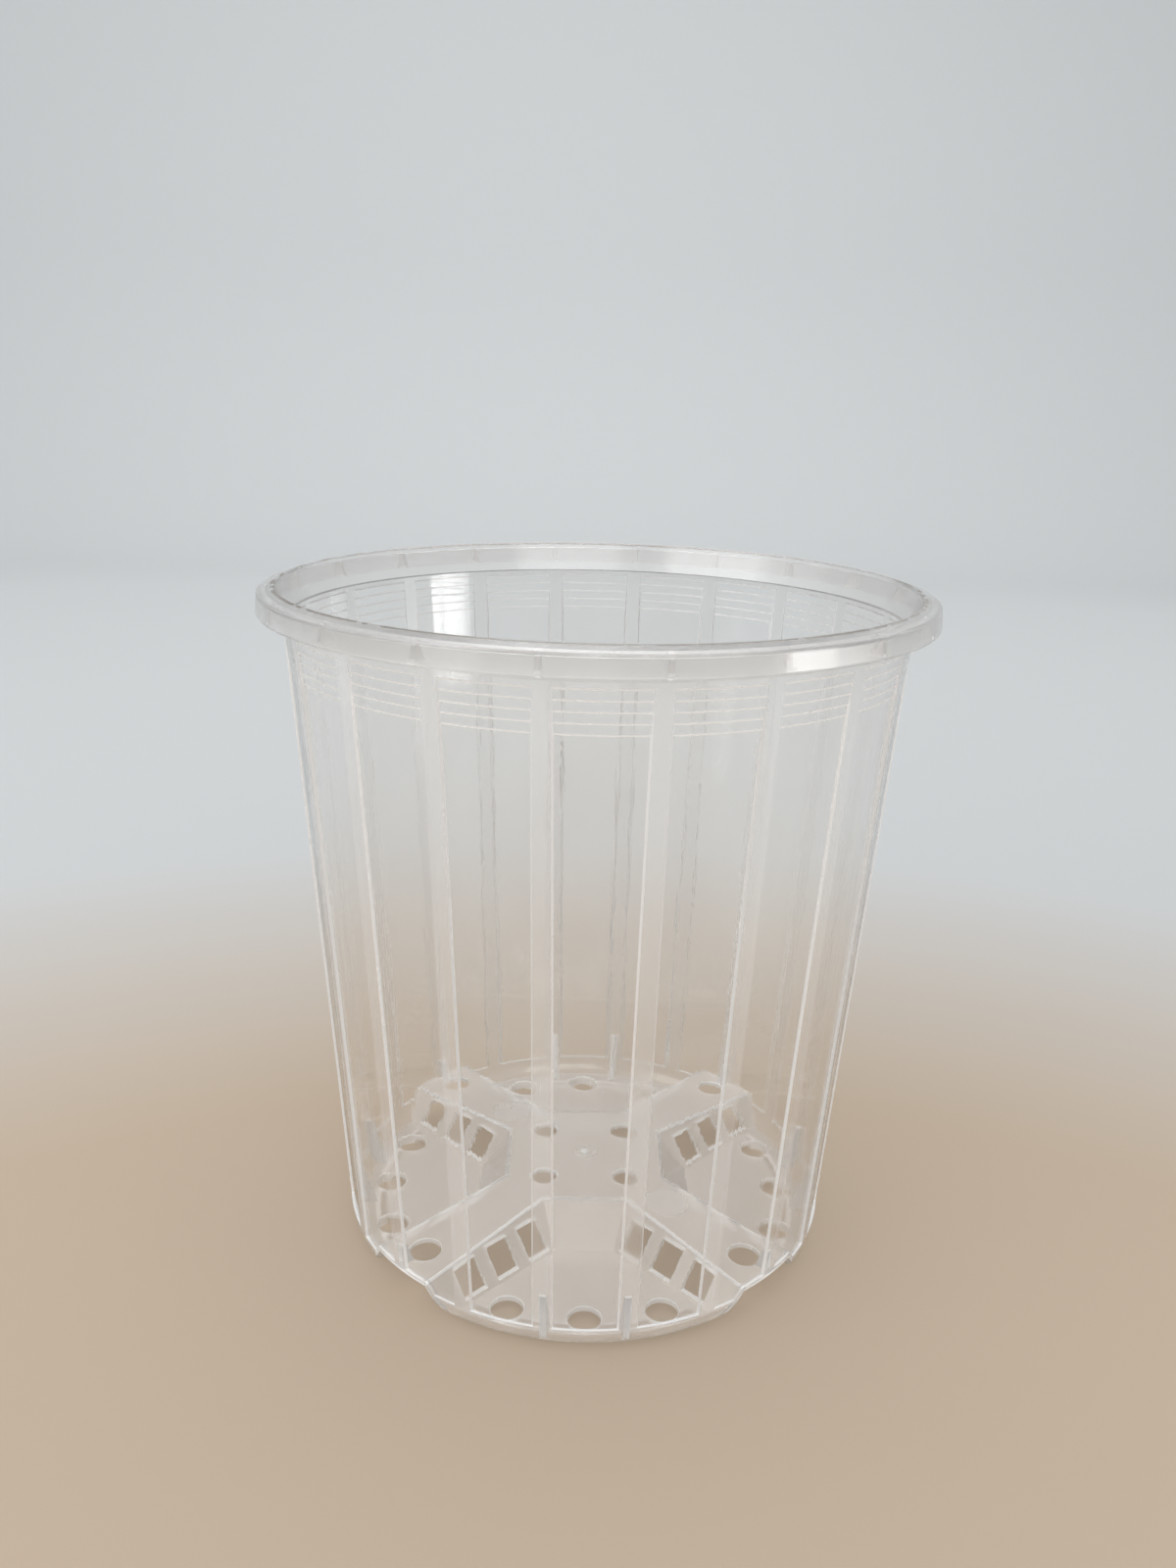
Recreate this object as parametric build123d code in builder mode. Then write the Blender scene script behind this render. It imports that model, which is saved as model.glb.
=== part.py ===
# Clear orchid pot with a slotted, raised cross in its base, standing on its foot ring.
# Millimetres. +Z is up, the origin is on the ground under the pot's axis, and the front looks along -Y.
# The real pot is one moulding: each solid is a named region of it, and neighbours meet face to face.
import math
import os

from build123d import *

# Rim: a sloping flange, an outer skirt and an inner collar that carries them on the wall
rim_height = 159.3          # inner top edge above the ground
rim_inner_radius = 71.0
flange_width = 3.7          # from the inner to the outer edge
flange_drop_height = 1.2    # fall of the flange from its inner to its outer edge
flange_thickness = 1.2
flange_edge_radius = 0.6    # rounding of the flange's outer top edge
skirt_length = 3.3          # skirt below the flange
skirt_flare_width = 0.3     # how far the skirt's lower edge stands outside the flange
skirt_thickness = 1.2
collar_thickness = 1.2
collar_height = 6.1         # collar below the flange's underside at its inner edge
collar_flare_width = 1.41   # how far the rim's inner edge stands outside the top of the wall
web_thickness = 1.0         # small webs between collar and skirt, one at each band

# Wall: a cone of bays, each a thin panel between two thicker bands
bay_count = 20
wall_taper = 0.0703         # growth of the radius for each millimetre of height
band_thickness = 1.4
panel_thickness = 0.8
band_width_low = 4.0        # width of a band at the foot
band_width_high = 3.5       # and under the rim
ring_count = 5              # fine steps under the rim, where the panels grow out flush with the bands
ring_pitch = 2.15
ring_top_height = 1.3       # plain wall left above the highest step
foot_radius = 6.9           # rounding between the wall and the ground
foot_lip_height = 0.3       # full thickness kept between the foot's curve and the panel

# Sector floors: four low floors between the arms, with a foot ring underneath
floor_height = 2.6          # top of a sector floor
floor_thickness = 1.2
floor_edge_width = 4.1      # from the wall's ground radius in to the sector floor's edge
foot_land_width = 1.6       # width of the flat foot ring
floor_hole_radius = 3.7
floor_hole_wall_width = 8.8     # from the wall's ground radius in to the drain holes' centres
floor_hole_riser_width = 3.2    # floor left between the outer drain holes and the risers
floor_holes = 3

# Raised cross: a platform in the middle and four arms that fall gently to the wall
platform_height = 12.1
platform_half_width = 19.5  # from the axis to the platform's straight edges
deck_thickness = 1.1
arm_half_width = 6.6        # at the platform
arm_fall = 0.075            # fall of an arm for each millimetre outwards
arm_hole_radius = 3.6
arm_hole_wall_width = 7.1   # from the wall's ground radius in to the hole's centre
centre_hole_radius = 3.1
centre_hole_distance = 14.5
gate_radius = 1.0           # nub left by the moulding gate, with a fine ring around it
gate_height = 0.6
gate_ring_radius = 2.6
gate_ring_width = 0.6
gate_ring_height = 0.2
pin_mark_radius = 5.2       # shallow round marks of the ejector pins, on two opposite arms
pin_mark_distance = 28.0
pin_mark_depth = 0.15

# Risers: sloping sides of the cross, slotted along the arms and plain at the platform
riser_run = 0.78            # horizontal run for each millimetre of height
riser_thickness = 1.0
slot_count = 3
slot_share = 0.65           # a slot's length as a share of the slots' pitch
slot_inner_width = 4.22     # riser left between the platform's corner and the first slot
slot_outer_width = 8.0      # from the wall's ground radius in to the end of the last slot
slot_low_height = 3.1
slot_high_height = 9.3

# Gusset ribs at the foot of the bands, inside the pot
gusset_thickness = 1.5
gusset_depth = 3.0          # how far a rib's foot reaches in from the wall's foot
gusset_top_depth = 1.0      # and how far its top does
gusset_height = 14.6        # top of a rib above the ground

# Worked out from the sizes above
bay_angle = 360 / bay_count
wall_top = rim_height - flange_thickness - collar_height
wall_ground_radius = rim_inner_radius - collar_flare_width - wall_taper * wall_top     # bands carried down to the ground
rim_outer_radius = rim_inner_radius + flange_width
recess_depth = band_thickness - panel_thickness
ring_step = recess_depth / ring_count
ring_lowest = wall_top - ring_top_height - ring_pitch * (ring_count - 1)
slant = math.sqrt(1 + wall_taper**2)
foot_centre_radius = wall_ground_radius + foot_radius * (wall_taper - slant)
foot_end = Vector(foot_centre_radius + foot_radius / slant, foot_radius * (1 - wall_taper / slant))
inner_foot = foot_radius - band_thickness
inner_foot_end = Vector(foot_centre_radius + inner_foot / slant, foot_radius - inner_foot * wall_taper / slant)
floor_bottom = floor_height - floor_thickness
floor_radius = wall_ground_radius - floor_edge_width
floor_hole_distance = wall_ground_radius - floor_hole_wall_width
deck_bottom = platform_height - deck_thickness
arm_start = math.hypot(platform_half_width, platform_half_width) - arm_half_width
arm_hole_distance = wall_ground_radius - arm_hole_wall_width
slot_start = arm_start + slot_inner_width
slot_pitch = (wall_ground_radius - slot_outer_width - slot_start) / (slot_count - 1 + slot_share)
slot_length = slot_pitch * slot_share
riser_across = riser_thickness * math.sqrt(1 + riser_run**2)
riser_angle = math.degrees(math.atan(riser_run))
corner_y = platform_half_width - math.hypot(arm_half_width, arm_half_width)
mitre = math.tan(math.radians(90 / 4))
reach = rim_outer_radius + skirt_flare_width      # past everything the pot has, measured from the axis
arm_angles = {"front_right": -45, "back_right": 45, "back_left": 135, "front_left": 225}
sector_angles = {"front": -90, "right": 0, "back": 90, "left": 180}
pin_marked_arms = ("front_right", "back_left")
band_angles = [-90 + bay_angle * (index + 1 / 2) for index in range(bay_count)]


def wall_radius(height):
    return wall_ground_radius + wall_taper * height


def inner_radius(height):
    return wall_radius(height) - band_thickness * slant


def foot_point(radius, curve):
    # Point of a foot curve at a distance from the pot's axis
    drop = math.sqrt(curve**2 - (radius - foot_centre_radius) ** 2)
    return Vector(radius, foot_radius - drop)


def foot_middle(start, end, curve):
    # Middle of a foot curve between two of its points
    centre = Vector(foot_centre_radius, foot_radius)
    halfway = ((start - centre) + (end - centre)).normalized()
    return centre + halfway * curve


def flange_underside(radius):
    share = (radius - rim_inner_radius) / (rim_outer_radius - rim_inner_radius)
    return rim_height - flange_thickness - flange_drop_height * share


def riser_edge(height):
    # Outside of an arm's riser, measured across the arm
    return arm_half_width + (platform_height - height) * riser_run


def platform_edge(height):
    # Outside of a platform riser, measured from the axis
    return platform_half_width + (platform_height - height) * riser_run


def arm_top(distance):
    return platform_height - arm_fall * (distance - arm_start)


def radial_plane(angle):
    # Upright plane through the axis: x runs outwards, y upwards
    turn = math.radians(angle)
    return Plane((0, 0, 0), x_dir=(math.cos(turn), math.sin(turn), 0), z_dir=(math.sin(turn), -math.cos(turn), 0))


def keep(piece, name):
    piece.part.label = name
    export_step(piece.part, f"parts/{name}.step")


os.makedirs("parts", exist_ok=True)

# Rim flange
with BuildPart() as rim_flange:
    with BuildSketch(Plane.XZ):
        with BuildLine():
            Polyline(
                (rim_inner_radius, flange_underside(rim_inner_radius)),
                (rim_outer_radius, flange_underside(rim_outer_radius)),
                (rim_outer_radius, flange_underside(rim_outer_radius) + flange_thickness),
                (rim_inner_radius, rim_height),
                close=True,
            )
        make_face()
    revolve(axis=Axis.Z)
    outer_top = rim_flange.edges().filter_by(GeomType.CIRCLE).filter_by(
        lambda edge: edge.radius > (rim_inner_radius + rim_outer_radius) / 2
    )
    fillet(outer_top.sort_by(Axis.Z)[-1], radius=flange_edge_radius)
keep(rim_flange, "rim_flange")

# Rim skirt
skirt_bottom = flange_underside(rim_outer_radius) - skirt_length
skirt_inside = rim_outer_radius - skirt_thickness
with BuildPart() as rim_skirt:
    with BuildSketch(Plane.XZ):
        with BuildLine():
            Polyline(
                (skirt_inside, flange_underside(skirt_inside)),
                (rim_outer_radius, flange_underside(rim_outer_radius)),
                (rim_outer_radius + skirt_flare_width, skirt_bottom),
                (skirt_inside + skirt_flare_width, skirt_bottom),
                close=True,
            )
        make_face()
    revolve(axis=Axis.Z)
keep(rim_skirt, "rim_skirt")

# Rim collar: flares from the top of the wall out to the flange
collar_outside = rim_inner_radius + collar_thickness
with BuildPart() as rim_collar:
    with BuildSketch(Plane.XZ):
        with BuildLine():
            Polyline(
                (inner_radius(wall_top), wall_top),
                (wall_radius(wall_top), wall_top),
                (collar_outside, flange_underside(collar_outside)),
                (rim_inner_radius, flange_underside(rim_inner_radius)),
                close=True,
            )
        make_face()
    revolve(axis=Axis.Z)
keep(rim_collar, "rim_collar")

# Rim webs: the channel between collar and skirt, kept only in thin plates at the bands
web_climb = (skirt_bottom - wall_top) / (flange_underside(collar_outside) - wall_top)
web_inside = wall_radius(wall_top) + (collar_outside - wall_radius(wall_top)) * web_climb
with BuildPart() as rim_webs:
    with BuildSketch(Plane.XZ):
        with BuildLine():
            Polyline(
                (web_inside, skirt_bottom),
                (skirt_inside + skirt_flare_width, skirt_bottom),
                (skirt_inside, flange_underside(skirt_inside)),
                (collar_outside, flange_underside(collar_outside)),
                close=True,
            )
        make_face()
    revolve(axis=Axis.Z)
    with BuildSketch(Plane.XY.offset(skirt_bottom)):
        with PolarLocations(reach / 2, bay_count, start_angle=band_angles[0]):
            Rectangle(reach, web_thickness)
    extrude(amount=rim_height - skirt_bottom, mode=Mode.INTERSECT)
keep(rim_webs, "rim_webs")

# Space that the outside of the wall closes, and the space inside it above the floors
with BuildPart() as wall_envelope:
    with BuildSketch(Plane.XZ):
        with BuildLine():
            foot_start = Vector(foot_centre_radius, 0)
            Line((0, 0), foot_start)
            ThreePointArc(foot_start, foot_middle(foot_start, foot_end, foot_radius), foot_end)
            Polyline(foot_end, (wall_radius(wall_top), wall_top), (0, wall_top), (0, 0))
        make_face()
    revolve(axis=Axis.Z)

floor_corner = Vector(
    foot_centre_radius + math.sqrt(inner_foot**2 - (foot_radius - floor_height) ** 2), floor_height
)
with BuildPart() as inner_space:
    with BuildSketch(Plane.XZ):
        with BuildLine():
            Line((0, floor_height), floor_corner)
            ThreePointArc(floor_corner, foot_middle(floor_corner, inner_foot_end, inner_foot), inner_foot_end)
            Polyline(inner_foot_end, (inner_radius(wall_top), wall_top), (0, wall_top), (0, floor_height))
        make_face()
    revolve(axis=Axis.Z)

# Space that one arm of the cross fills, along +X, and the space that the platform fills
with BuildPart() as arm_envelope:
    with BuildSketch(Plane.YZ):
        with BuildLine():
            Polyline(
                (-riser_edge(0), 0),
                (riser_edge(0), 0),
                (arm_half_width, platform_height),
                (-arm_half_width, platform_height),
                close=True,
            )
        make_face()
    extrude(amount=reach)
    with BuildSketch(Plane.XZ):
        with BuildLine():
            Polyline(
                (0, 0),
                (reach, 0),
                (reach, arm_top(reach)),
                (arm_start, platform_height),
                (0, platform_height),
                close=True,
            )
        make_face()
    extrude(amount=reach, both=True, mode=Mode.INTERSECT)

with BuildPart() as platform_envelope:
    with BuildSketch():
        Rectangle(2 * platform_edge(0), 2 * platform_edge(0))
    extrude(amount=platform_height, taper=riser_angle)


def cut_cross():
    # Takes the raised cross out of the piece that is being built
    for angle in arm_angles.values():
        add(arm_envelope.part, rotation=(0, 0, angle), mode=Mode.SUBTRACT)
    add(platform_envelope.part, mode=Mode.SUBTRACT)


# One bay of the wall, centred on +X, from the middle of one band to the middle of the next
def band_edge(height, width):
    # Edge of a band, measured across the bay
    half_bay = math.radians(bay_angle / 2)
    return wall_radius(height) * math.sin(half_bay) - width / 2 * math.cos(half_bay)


recess_low = foot_end.Y + foot_lip_height
ring_heights = [ring_lowest + ring_pitch * index for index in range(ring_count)]
recess_points = [(wall_radius(recess_low) - recess_depth, recess_low)]
for index, height in enumerate(ring_heights):
    depth = recess_depth - ring_step * index
    recess_points.append((wall_radius(height) - depth, height))
    recess_points.append((wall_radius(height) - depth + ring_step, height))
recess_points.append((reach, ring_heights[-1]))
recess_points.append((reach, recess_low))

with BuildPart() as panel_recess:
    with BuildSketch(radial_plane(-bay_angle / 2)):
        with BuildLine():
            Polyline(*recess_points, close=True)
        make_face()
    revolve(axis=Axis.Z, revolution_arc=bay_angle)
    with BuildSketch(Plane.YZ):
        with BuildLine():
            Polyline(
                (-band_edge(recess_low, band_width_low), recess_low),
                (band_edge(recess_low, band_width_low), recess_low),
                (band_edge(wall_top, band_width_high), wall_top),
                (-band_edge(wall_top, band_width_high), wall_top),
                close=True,
            )
        make_face()
    extrude(amount=reach, mode=Mode.INTERSECT)

foot_split = foot_point(floor_radius, foot_radius)
with BuildPart() as bay:
    with BuildSketch(radial_plane(-bay_angle / 2)):
        with BuildLine():
            ThreePointArc(foot_split, foot_middle(foot_split, foot_end, foot_radius), foot_end)
            Polyline(
                foot_end,
                (wall_radius(wall_top), wall_top),
                (inner_radius(wall_top), wall_top),
                inner_foot_end,
            )
            ThreePointArc(inner_foot_end, foot_middle(floor_corner, inner_foot_end, inner_foot), floor_corner)
            Polyline(floor_corner, (floor_radius, floor_height), foot_split)
        make_face()
    revolve(axis=Axis.Z, revolution_arc=bay_angle)
    add(panel_recess.part, mode=Mode.SUBTRACT)

# Wall bays, numbered from the front: those over an arm are cut out into an arch
for index in range(bay_count):
    with BuildPart() as wall_bay:
        add(bay.part, rotation=(0, 0, sector_angles["front"] + bay_angle * index))
        cut_cross()
    keep(wall_bay, f"wall_bay_{index + 1:02d}")

# Sector floors
with BuildPart() as floor:
    with BuildSketch(radial_plane(-45)):
        with BuildLine():
            land_end = Vector(foot_centre_radius, 0)
            Polyline(
                land_end,
                (foot_centre_radius - foot_land_width, 0),
                (foot_centre_radius - foot_land_width, floor_bottom),
                (platform_half_width, floor_bottom),
                (platform_half_width, floor_height),
                (floor_radius, floor_height),
                foot_split,
            )
            ThreePointArc(foot_split, foot_middle(foot_split, land_end, foot_radius), land_end)
        make_face()
    revolve(axis=Axis.Z, revolution_arc=90)
    with BuildSketch():
        from_arm = riser_edge(floor_height) + floor_hole_riser_width + floor_hole_radius
        spread = 2 * (45 - math.degrees(math.asin(from_arm / floor_hole_distance)))
        with PolarLocations(
            floor_hole_distance, floor_holes, start_angle=-spread / 2, angular_range=spread, endpoint=True
        ):
            Circle(floor_hole_radius)
    extrude(amount=floor_height, mode=Mode.SUBTRACT)

for name, angle in sector_angles.items():
    with BuildPart() as sector_floor:
        add(floor.part, rotation=(0, 0, angle))
        cut_cross()
    keep(sector_floor, f"sector_floor_{name}")

# Central platform, with its drain holes and the mark of the moulding gate
with BuildPart() as platform:
    with BuildSketch(Plane.XY.offset(deck_bottom)):
        Rectangle(2 * platform_edge(deck_bottom), 2 * platform_edge(deck_bottom))
    extrude(amount=deck_thickness, taper=riser_angle)
    with BuildSketch(Plane.XY.offset(deck_bottom)):
        Rectangle(2 * arm_start, 2 * arm_start, rotation=45)
    extrude(amount=deck_thickness, mode=Mode.INTERSECT)
    with BuildSketch(Plane.XY.offset(deck_bottom)):
        with PolarLocations(centre_hole_distance, len(arm_angles), start_angle=45):
            Circle(centre_hole_radius)
    extrude(amount=deck_thickness, mode=Mode.SUBTRACT)
    with BuildSketch(Plane.XY.offset(platform_height)):
        Circle(gate_radius)
    extrude(amount=gate_height)
    with BuildSketch(Plane.XY.offset(platform_height)):
        Circle(gate_ring_radius)
        Circle(gate_ring_radius - gate_ring_width, mode=Mode.SUBTRACT)
    extrude(amount=gate_ring_height)
keep(platform, "platform")

# Arm decks, with a drain hole near the wall
for name, angle in arm_angles.items():
    with BuildPart() as deck:
        with BuildSketch(Plane.XZ):
            with BuildLine():
                Polyline(
                    (arm_start, platform_height),
                    (reach, arm_top(reach)),
                    (reach, arm_top(reach) - deck_thickness),
                    (arm_start, deck_bottom),
                    close=True,
                )
            make_face()
        extrude(amount=reach, both=True)
        add(arm_envelope.part, mode=Mode.INTERSECT)
        add(wall_envelope.part, mode=Mode.INTERSECT)
        with BuildSketch():
            with Locations((arm_hole_distance, 0)):
                Circle(arm_hole_radius)
        extrude(amount=platform_height, mode=Mode.SUBTRACT)
        if name in pin_marked_arms:
            mark_height = arm_top(pin_mark_distance) - pin_mark_depth
            mark_tilt = Plane((pin_mark_distance, 0, mark_height), x_dir=(1, 0, -arm_fall), z_dir=(arm_fall, 0, 1))
            with BuildSketch(mark_tilt):
                Circle(pin_mark_radius)
            extrude(amount=platform_height, mode=Mode.SUBTRACT)
    with BuildPart() as arm_deck:
        add(deck.part, rotation=(0, 0, angle))
    keep(arm_deck, f"arm_deck_{name}")

# Slotted risers, one along each side of each arm
for name, angle in arm_angles.items():
    for side, sign in (("right", -1), ("left", 1)):
        with BuildPart() as riser:
            with BuildSketch(Plane.YZ):
                with BuildLine():
                    Polyline(
                        (sign * riser_edge(floor_bottom), floor_bottom),
                        (sign * riser_edge(platform_height), platform_height),
                        (sign * (riser_edge(platform_height) - riser_across), platform_height),
                        (sign * (riser_edge(floor_bottom) - riser_across), floor_bottom),
                        close=True,
                    )
                make_face()
            extrude(amount=reach)
            # Under the deck
            with BuildSketch(Plane.XZ):
                with BuildLine():
                    Polyline(
                        (0, 0),
                        (reach, 0),
                        (reach, arm_top(reach) - deck_thickness),
                        (0, arm_top(0) - deck_thickness),
                        close=True,
                    )
                make_face()
            extrude(amount=reach, both=True, mode=Mode.INTERSECT)
            # Outside the mitre with the platform's riser
            with BuildSketch():
                with BuildLine():
                    Polyline(
                        (arm_start - mitre * arm_half_width, 0),
                        (reach, 0),
                        (reach, sign * reach),
                        (arm_start + mitre * (reach - arm_half_width), sign * reach),
                        close=True,
                    )
                make_face()
            extrude(amount=platform_height, mode=Mode.INTERSECT)
            add(wall_envelope.part, mode=Mode.INTERSECT)
            with BuildSketch(Plane.XZ):
                for index in range(slot_count):
                    slot_middle = slot_start + slot_pitch * index + slot_length / 2
                    with Locations((slot_middle, (slot_low_height + slot_high_height) / 2)):
                        Rectangle(slot_length, slot_high_height - slot_low_height)
            extrude(amount=reach, both=True, mode=Mode.SUBTRACT)
        with BuildPart() as slotted_riser:
            add(riser.part, rotation=(0, 0, angle))
        keep(slotted_riser, f"slotted_riser_{name}_{side}")

# Platform risers: the plain inner ends of the four sectors
for name, angle in sector_angles.items():
    with BuildPart() as end_riser:
        with BuildSketch(Plane.XZ):
            with BuildLine():
                Polyline(
                    (platform_edge(floor_bottom), floor_bottom),
                    (platform_edge(deck_bottom), deck_bottom),
                    (platform_edge(deck_bottom) - riser_across, deck_bottom),
                    (platform_edge(floor_bottom) - riser_across, floor_bottom),
                    close=True,
                )
            make_face()
        extrude(amount=reach, both=True)
        with BuildSketch():
            with BuildLine():
                Polyline(
                    (0, -(corner_y + mitre * platform_half_width)),
                    (platform_half_width + corner_y / mitre, 0),
                    (0, corner_y + mitre * platform_half_width),
                    close=True,
                )
            make_face()
        extrude(amount=platform_height, mode=Mode.INTERSECT)
    with BuildPart() as platform_riser:
        add(end_riser.part, rotation=(0, 0, angle))
    keep(platform_riser, f"platform_riser_{name}")

# Gusset ribs: two in each sector and one at the end of each arm, all on the bands
gusset_angles = [
    angle + turn for angle in sector_angles.values() for turn in (-bay_angle / 2, bay_angle / 2)
] + list(arm_angles.values())
with BuildPart() as gusset_ribs:
    for angle in gusset_angles:
        with BuildSketch(radial_plane(angle)):
            with BuildLine():
                Polyline(
                    (floor_corner.X - gusset_depth, floor_height),
                    (reach, floor_height),
                    (reach, gusset_height),
                    (inner_radius(gusset_height) - gusset_top_depth, gusset_height),
                    close=True,
                )
            make_face()
        extrude(amount=gusset_thickness / 2, both=True)
    add(inner_space.part, mode=Mode.INTERSECT)
    cut_cross()
keep(gusset_ribs, "gusset_ribs")
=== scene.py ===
import math

import bmesh
import bpy
from mathutils import Matrix, Vector, noise


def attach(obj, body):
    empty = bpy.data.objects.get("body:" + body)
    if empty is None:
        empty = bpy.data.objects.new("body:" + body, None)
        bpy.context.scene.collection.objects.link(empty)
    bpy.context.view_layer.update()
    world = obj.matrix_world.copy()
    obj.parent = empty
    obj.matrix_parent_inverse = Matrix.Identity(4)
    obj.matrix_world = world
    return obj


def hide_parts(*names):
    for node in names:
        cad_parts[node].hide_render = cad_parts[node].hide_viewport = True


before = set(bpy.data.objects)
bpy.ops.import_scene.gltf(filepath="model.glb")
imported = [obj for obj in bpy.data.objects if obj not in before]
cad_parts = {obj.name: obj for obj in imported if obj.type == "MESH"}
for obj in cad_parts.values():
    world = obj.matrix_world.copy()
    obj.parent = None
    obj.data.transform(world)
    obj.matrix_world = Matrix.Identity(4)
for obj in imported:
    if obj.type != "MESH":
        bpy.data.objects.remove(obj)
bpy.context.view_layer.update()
print("frame loaded,", len(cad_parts), "nodes")

# The pot is drawn in millimetres and brought to metres at the end
metre = 0.001
weld = 0.004                    # points closer than this become one
thinEdge = 0.002
slack = 0.1                     # room when faces are picked by their place

wall = {
    "bays": 20,
    "groundRadius": 58.904,     # outside of the bands, carried down to the ground
    "taper": 0.0703,
    "top": 152.0,
    "thick": 1.4,
    "panelDepth": 0.6,          # how far the panels lie back from the bands
    "panelSteps": 16,
    "bandLow": 4.0,             # width of the bands at the foot and at the top
    "bandHigh": 3.5,
    "draft": 0.38,              # slope of the bands' edges
    "ringLowest": 142.1,
    "ringPitch": 2.15,
    "ringCount": 5,
    "ringSlope": 0.4,
    "footRadius": 6.9,
    "footLip": 0.3,
    "footHighlight": 1.2,           # how far the foot's white edge, a painted highlight, reaches up its rounding
    "footSteps": 10,
    "hollowSteps": 8,
    "roundSteps": 360,
    "cutOut": 2.0,              # how far cutters stand out of the wall, and above it
    "cutAbove": 10.0,
    "sharp": 12,                # edges over this many degrees stay sharp
}

floors = {
    "top": 2.6,
    "under": 1.4,
    "landWidth": 1.6,
    "holeRadius": 3.7,
    "holeDistance": 50.1,
    "holeStep": 20.3,
    "holesPerSector": 3,
    "holeLip": 0.35,
    "lipShare": 0.3,            # where the lip's slope breaks
    "lipOver": 0.02,
    "holeDepth": 6.0,
    "holeAbove": 3.0,
    "holeSides": 40,
}

slant = math.sqrt(1 + wall["taper"] ** 2)
wallAngle = -math.atan(wall["taper"])
footCentre = wall["groundRadius"] + wall["footRadius"] * (wall["taper"] - slant)


def wallRadius(z):
    return wall["groundRadius"] + wall["taper"] * z


def innerRadius(z):
    return wallRadius(z) - wall["thick"] * slant


def footArc(radius, start, end, steps):
    points = []
    for i in range(steps + 1):
        turn = start + (end - start) * i / steps
        r = footCentre + radius * math.cos(turn)
        points.append((r, wall["footRadius"] + radius * math.sin(turn)))
    return points


def circle(radius, sides):
    turns = [math.tau * i / sides for i in range(sides)]
    return [(radius * math.cos(turn), radius * math.sin(turn)) for turn in turns]


def softCorner(before, corner, after, radius, steps=4, hold=0.0):
    # Replaces a corner of a profile by a small round
    a, c, b = Vector(before), Vector(corner), Vector(after)
    toA, toB = (a - c).normalized(), (b - c).normalized()
    half = toA.angle(toB) / 2
    back = radius / math.tan(half)
    centre = c + (toA + toB).normalized() * (radius / math.sin(half))
    first, last = c + toA * back - centre, c + toB * back - centre
    points = []
    for i in range(steps + 1):
        p = first.lerp(last, i / steps).normalized() * radius + centre
        points.append((p.x, p.y))
    if hold:        # a point more on each straight keeps its shading flat
        ends = c + toA * (back + hold), c + toB * (back + hold)
        points = [tuple(ends[0])] + points + [tuple(ends[1])]
    return points


# A face's mark is the slot of its material; 0 is the plain plastic
# The edge mark is a painted highlight along the body's edges, and dust with painted shade along the
# rim's inner edge
marks = {"edge": 1, "frostAndSoftHighlight": 2, "band": 3, "base": 4}


def newShape():
    bm = bmesh.new()
    bm.faces.layers.float.new("slotMark")
    return bm


def marked(bm, faces, slotMark):
    layer = bm.faces.layers.float["slotMark"]
    for face in faces:
        face[layer] = marks[slotMark]


def markedWhere(piece, slotMark, test):
    values = piece.data.attributes["slotMark"].data
    for face in piece.data.polygons:
        if test(face.center):
            values[face.index].value = marks[slotMark]


def meshObject(name, bm):
    bmesh.ops.recalc_face_normals(bm, faces=bm.faces)
    mesh = bpy.data.meshes.new(name)
    bm.to_mesh(mesh)
    bm.free()
    piece = bpy.data.objects.new(name, mesh)
    bpy.context.scene.collection.objects.link(piece)
    return piece


def lathe(name, profile, steps):
    # A closed profile of radius and height, turned about the upright axis, with one point at a pole
    bm = newShape()
    poles = {z: bm.verts.new((0, 0, z)) for r, z in profile if r == 0}
    rings = []
    for x, y in circle(1.0, steps):
        rings.append([bm.verts.new((r * x, r * y, z)) if r else poles[z] for r, z in profile])
    for i in range(steps):
        near, far = rings[i], rings[(i + 1) % steps]
        for j in range(len(profile)):
            k = (j + 1) % len(profile)
            corners = list(dict.fromkeys((near[j], far[j], far[k], near[k])))
            if len(corners) > 2:
                bm.faces.new(corners)
    return meshObject(name, bm)


def addRings(bm, rings):
    # Closed tube through matching loops of points, with a face at each end
    loops = [[bm.verts.new(p) for p in ring] for ring in rings]
    count = len(loops[0])
    for near, far in zip(loops, loops[1:]):
        for j in range(count):
            k = (j + 1) % count
            bm.faces.new((near[j], near[k], far[k], far[j]))
    bm.faces.new(list(reversed(loops[0])))
    bm.faces.new(loops[-1])


def ringSolid(name, solids, slotMark):
    bm = newShape()
    for rings in solids:
        addRings(bm, rings)
    marked(bm, bm.faces, slotMark)
    return meshObject(name, bm)


def plateSolid(name, profile, thick, slotMark):
    # An upright plate on +X, from its outline of radius and height
    rings = [[(r, y, z) for r, z in profile] for y in (-thick / 2, thick / 2)]
    return ringSolid(name, [rings], slotMark)


# The wall's outside, its hollow and one of its panels
def makeOutside():
    landIn = footCentre - floors["landWidth"]
    profile = [(0, floors["under"]), (landIn, floors["under"]), (landIn, 0)]
    profile += footArc(wall["footRadius"], -math.pi / 2, wallAngle, wall["footSteps"])
    profile += [(wallRadius(wall["top"]), wall["top"]), (0, wall["top"])]
    outside = lathe("outside", profile, wall["roundSteps"])
    white = footCentre + wall["footHighlight"]

    def footRing(p):
        return landIn - slack < p.xy.length < white and p.z < floors["under"] - slack

    markedWhere(outside, "base", lambda p: p.xy.length < landIn and p.z < floors["top"])
    markedWhere(outside, "band", lambda p: p.xy.length > footCentre)    # the panels cut into these
    # Painted highlight: the foot's rounding is whitened
    markedWhere(outside, "edge", footRing)
    return outside


def makeCavity():
    inner = wall["footRadius"] - wall["thick"]
    start = -math.asin((wall["footRadius"] - floors["top"]) / inner)
    above = wall["top"] + wall["cutAbove"]
    profile = [(0, floors["top"])] + footArc(inner, start, wallAngle, wall["hollowSteps"])
    profile += [(innerRadius(above), above), (0, above)]
    cavity = lathe("cavity", profile, wall["roundSteps"])
    markedWhere(cavity, "base", lambda p: p.z < floors["top"] + slack)
    return cavity


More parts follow.
